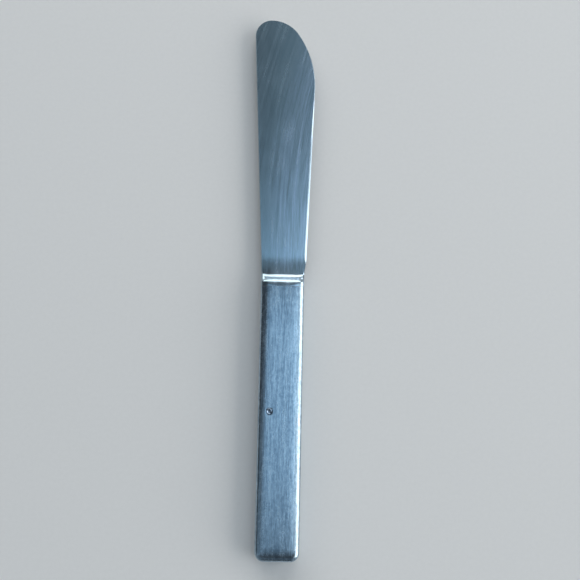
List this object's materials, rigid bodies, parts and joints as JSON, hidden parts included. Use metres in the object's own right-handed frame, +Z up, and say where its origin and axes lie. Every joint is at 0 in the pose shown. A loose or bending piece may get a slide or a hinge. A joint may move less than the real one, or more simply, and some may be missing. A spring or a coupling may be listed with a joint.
{
  "type": "butter knife",
  "caption": "Butter knife with a rounded satin steel blade for spreading, a curved forged bolster and a flat hollow handle with rounded edges and a plugged vent.",
  "frame": {"origin": "on the table under the middle of the knife's outline, with the knife lying flat", "axes": "+Y along the knife to the blade's tip, +X to the side of the blade's edge, +Z up from the table"},
  "size_m": [0.0196, 0.17, 0.007],
  "materials": {
    "blade_satin_steel": "fine grinding lines along the heel, fanning towards the belly",
    "handle_satin_steel": "lengthwise brushing with fine scratches from use",
    "brazing_metal": "ground flush with the shells",
    "set_cement": "matt, cast in place",
    "plug_steel": "dull, dished"
  },
  "bodies": {
    "root": {"blade": "blade_satin_steel", "handle_front_shell": "handle_satin_steel", "handle_back_shell": "handle_satin_steel", "shell_seam_braze": "brazing_metal", "bolster_braze": "brazing_metal", "handle_filler": "set_cement", "vent_plug": "plug_steel"}
  },
  "joints": []
}
